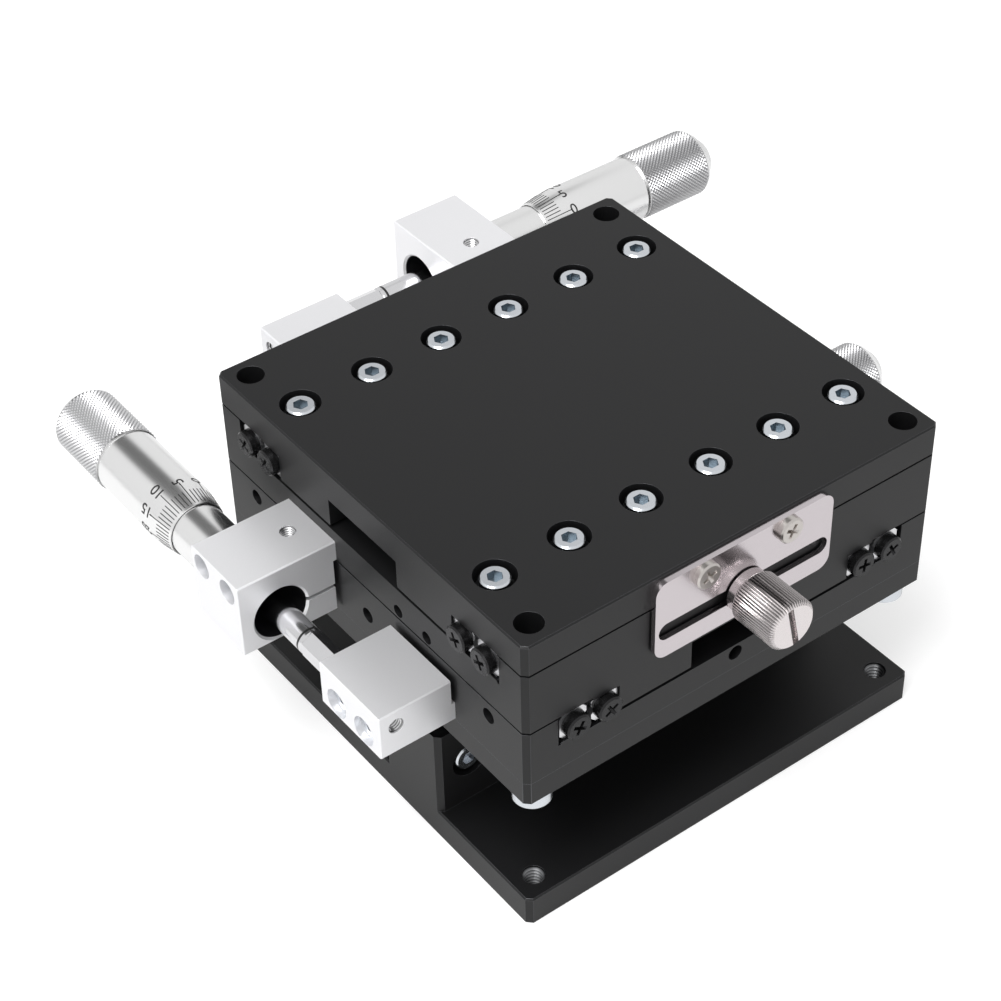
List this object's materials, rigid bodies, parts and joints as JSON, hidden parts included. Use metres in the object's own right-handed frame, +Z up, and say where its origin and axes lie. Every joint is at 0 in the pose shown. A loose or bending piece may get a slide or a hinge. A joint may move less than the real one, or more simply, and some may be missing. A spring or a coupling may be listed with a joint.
{
  "type": "three-axis translation stage",
  "caption": "Square crossed-roller translation stage with a drilled table, moved along X and Y and lifted along Z by micrometer heads.",
  "frame": {"origin": "centre of the base plate's underside", "axes": "+Z up, +X along the upper stage's micrometer towards its knob, +Y along the lower stage's micrometer towards its knob"},
  "size_m": [0.1585, 0.1382, 0.0662],
  "materials": {
    "base_bracket": "black anodised, fine satin",
    "lift_bracket": "black anodised, fine satin",
    "y_stage_base": "black anodised, fine satin",
    "middle_carriage": "black anodised, fine satin",
    "table": "black anodised, fine satin",
    "base_screws": "zinc plated, bright",
    "lift_screws": "zinc plated, bright",
    "middle_screws": "zinc plated, bright",
    "table_screws": "zinc plated, bright",
    "arm_screws": "zinc plated, bright",
    "guide_screws": "zinc plated, bright",
    "lift_stop_screws": "black oxide",
    "middle_stop_screws": "black oxide",
    "table_stop_screws": "black oxide",
    "lift_fixed_rails": "ground and polished hardened steel",
    "lift_moving_rails": "ground and polished hardened steel",
    "x_fixed_rails": "ground and polished hardened steel",
    "x_moving_rails": "ground and polished hardened steel",
    "y_fixed_rails": "ground and polished hardened steel",
    "y_moving_rails": "ground and polished hardened steel",
    "lift_rollers": "ground and polished hardened steel",
    "x_rollers": "ground and polished hardened steel",
    "y_rollers": "ground and polished hardened steel",
    "lift_cages": "plain",
    "x_cages": "plain",
    "y_cages": "plain",
    "drive_block": "bead-blasted, clear anodised",
    "x_mount_block": "bead-blasted, clear anodised",
    "y_mount_block": "bead-blasted, clear anodised",
    "x_anvil_block": "bead-blasted, clear anodised",
    "y_anvil_block": "bead-blasted, clear anodised",
    "drive_clamp_screw": "zinc plated, bright",
    "x_clamp_screw": "zinc plated, bright",
    "y_clamp_screw": "zinc plated, bright",
    "x_preload_screws": "black oxide",
    "y_preload_screws": "black oxide",
    "x_thimble": "satin chrome plated",
    "y_thimble": "satin chrome plated",
    "lift_thimble": "satin chrome plated",
    "x_sleeve": "satin chrome plated",
    "y_sleeve": "satin chrome plated",
    "lift_sleeve": "satin chrome plated",
    "x_contact_screw": "ground and polished hardened steel",
    "y_contact_screw": "ground and polished hardened steel",
    "x_lock_plate": "polished stainless sheet",
    "y_lock_plate": "polished stainless sheet",
    "x_lock_plate_screws": "zinc plated, bright",
    "y_lock_plate_screws": "zinc plated, bright",
    "x_lock_washer": "nickel plated",
    "y_lock_washer": "nickel plated",
    "x_lock_screw": "nickel plated",
    "y_lock_screw": "nickel plated",
    "x_spring": "ground and polished hardened steel",
    "y_spring": "ground and polished hardened steel",
    "lift_spring": "ground and polished hardened steel",
    "drive_wedge": "ground and polished hardened steel",
    "wedge_guides": "ground and polished hardened steel",
    "follower_pin": "ground and polished hardened steel",
    "follower_roller": "ground and polished hardened steel"
  },
  "bodies": {
    "base": {"base_bracket": "base_bracket", "base_screws": "base_screws", "lift_fixed_rails": "lift_fixed_rails", "wedge_guides": "wedge_guides", "guide_screws": "guide_screws", "drive_block": "drive_block", "lift_sleeve": "lift_sleeve", "drive_clamp_screw": "drive_clamp_screw", "lift_spring": "lift_spring"},
    "lift": {"lift_bracket": "lift_bracket", "y_stage_base": "y_stage_base", "arm_screws": "arm_screws", "lift_screws": "lift_screws", "lift_stop_screws": "lift_stop_screws", "lift_moving_rails": "lift_moving_rails", "y_fixed_rails": "y_fixed_rails", "y_preload_screws": "y_preload_screws", "y_anvil_block": "y_anvil_block", "y_contact_screw": "y_contact_screw", "follower_pin": "follower_pin", "y_spring": "y_spring"},
    "middle": {"middle_carriage": "middle_carriage", "middle_screws": "middle_screws", "middle_stop_screws": "middle_stop_screws", "x_fixed_rails": "x_fixed_rails", "x_preload_screws": "x_preload_screws", "x_anvil_block": "x_anvil_block", "x_contact_screw": "x_contact_screw", "y_moving_rails": "y_moving_rails", "y_mount_block": "y_mount_block", "y_clamp_screw": "y_clamp_screw", "y_sleeve": "y_sleeve", "y_lock_plate": "y_lock_plate", "y_lock_plate_screws": "y_lock_plate_screws", "x_spring": "x_spring"},
    "table": {"table": "table", "table_screws": "table_screws", "table_stop_screws": "table_stop_screws", "x_moving_rails": "x_moving_rails", "x_mount_block": "x_mount_block", "x_clamp_screw": "x_clamp_screw", "x_sleeve": "x_sleeve", "x_lock_plate": "x_lock_plate", "x_lock_plate_screws": "x_lock_plate_screws"},
    "wedge": {"drive_wedge": "drive_wedge"},
    "lift_thimble": {"lift_thimble": "lift_thimble"},
    "roller": {"follower_roller": "follower_roller"},
    "lift_cage": {"lift_cages": "lift_cages", "lift_rollers": "lift_rollers"},
    "y_thimble": {"y_thimble": "y_thimble"},
    "y_cage": {"y_cages": "y_cages", "y_rollers": "y_rollers"},
    "y_washer": {"y_lock_washer": "y_lock_washer"},
    "y_lock": {"y_lock_screw": "y_lock_screw"},
    "x_thimble": {"x_thimble": "x_thimble"},
    "x_cage": {"x_cages": "x_cages", "x_rollers": "x_rollers"},
    "x_washer": {"x_lock_washer": "x_lock_washer"},
    "x_lock": {"x_lock_screw": "x_lock_screw"}
  },
  "joints": [
    {"name": "lift_travel", "type": "slide", "parent": "base", "child": "lift", "axis": [0, 0, 1], "range_m": [-0.005, 0.005], "deforming": ["lift_spring"]},
    {"name": "wedge_travel", "type": "slide", "parent": "base", "child": "wedge", "axis": [-1, 0, 0], "range_m": [-0.005, 0.005]},
    {"name": "lift_micrometer", "type": "hinge", "parent": "wedge", "child": "lift_thimble", "pos_m": [0.0125, 0.0175, 0.0177], "axis": [-1, 0, 0], "range_deg": [-3600, 3600]},
    {"name": "roller_turn", "type": "hinge", "parent": "lift", "child": "roller", "pos_m": [-0.00647, 0.0175, 0.0192], "axis": [0, 1, 0], "range_deg": [-117, 117]},
    {"name": "lift_cage_travel", "type": "slide", "parent": "base", "child": "lift_cage", "axis": [0, 0, 1], "range_m": [-0.0025, 0.0025]},
    {"name": "y_travel", "type": "slide", "parent": "lift", "child": "middle", "axis": [0, 1, 0], "range_m": [-0.0125, 0.0125], "deforming": ["y_spring"]},
    {"name": "y_micrometer", "type": "hinge", "parent": "lift", "child": "y_thimble", "pos_m": [-0.0569, -0.0009, 0.0413], "axis": [0, -1, 0], "range_deg": [-9000, 9000]},
    {"name": "y_cage_travel", "type": "slide", "parent": "lift", "child": "y_cage", "axis": [0, 1, 0], "range_m": [-0.00625, 0.00625]},
    {"name": "x_travel", "type": "slide", "parent": "middle", "child": "table", "axis": [1, 0, 0], "range_m": [-0.0125, 0.0125], "deforming": ["x_spring"]},
    {"name": "x_micrometer", "type": "hinge", "parent": "middle", "child": "x_thimble", "pos_m": [-0.0021, 0.0569, 0.0556], "axis": [-1, 0, 0], "range_deg": [-9000, 9000]},
    {"name": "x_cage_travel", "type": "slide", "parent": "middle", "child": "x_cage", "axis": [1, 0, 0], "range_m": [-0.00625, 0.00625]},
    {"name": "y_lock_press", "type": "slide", "parent": "lift", "child": "y_washer", "axis": [-1, 0, 0], "range_m": [-0.000525, 0.00023333]},
    {"name": "y_lock_turn", "type": "hinge", "parent": "y_washer", "child": "y_lock", "pos_m": [0.0479, 0, 0.0416], "axis": [-1, 0, 0], "range_deg": [-270, 120]},
    {"name": "x_lock_press", "type": "slide", "parent": "middle", "child": "x_washer", "axis": [0, 1, 0], "range_m": [-0.000525, 0.00023333]},
    {"name": "x_lock_turn", "type": "hinge", "parent": "x_washer", "child": "x_lock", "pos_m": [0, -0.0479, 0.0546], "axis": [0, 1, 0], "range_deg": [-270, 120]}
  ],
  "couplings": [
    {"joint": "lift_micrometer", "follows": "lift_travel", "rad_per_m": 12566},
    {"joint": "wedge_travel", "follows": "lift_travel", "ratio": 1},
    {"joint": "lift_cage_travel", "follows": "lift_travel", "ratio": 0.5},
    {"joint": "roller_turn", "follows": "lift_travel", "rad_per_m": 404.06},
    {"joint": "y_micrometer", "follows": "y_travel", "rad_per_m": 12566},
    {"joint": "y_cage_travel", "follows": "y_travel", "ratio": 0.5},
    {"joint": "x_micrometer", "follows": "x_travel", "rad_per_m": 12566},
    {"joint": "x_cage_travel", "follows": "x_travel", "ratio": 0.5},
    {"joint": "y_lock_turn", "follows": "y_lock_press", "rad_per_m": 8976},
    {"joint": "x_lock_turn", "follows": "x_lock_press", "rad_per_m": 8976}
  ]
}
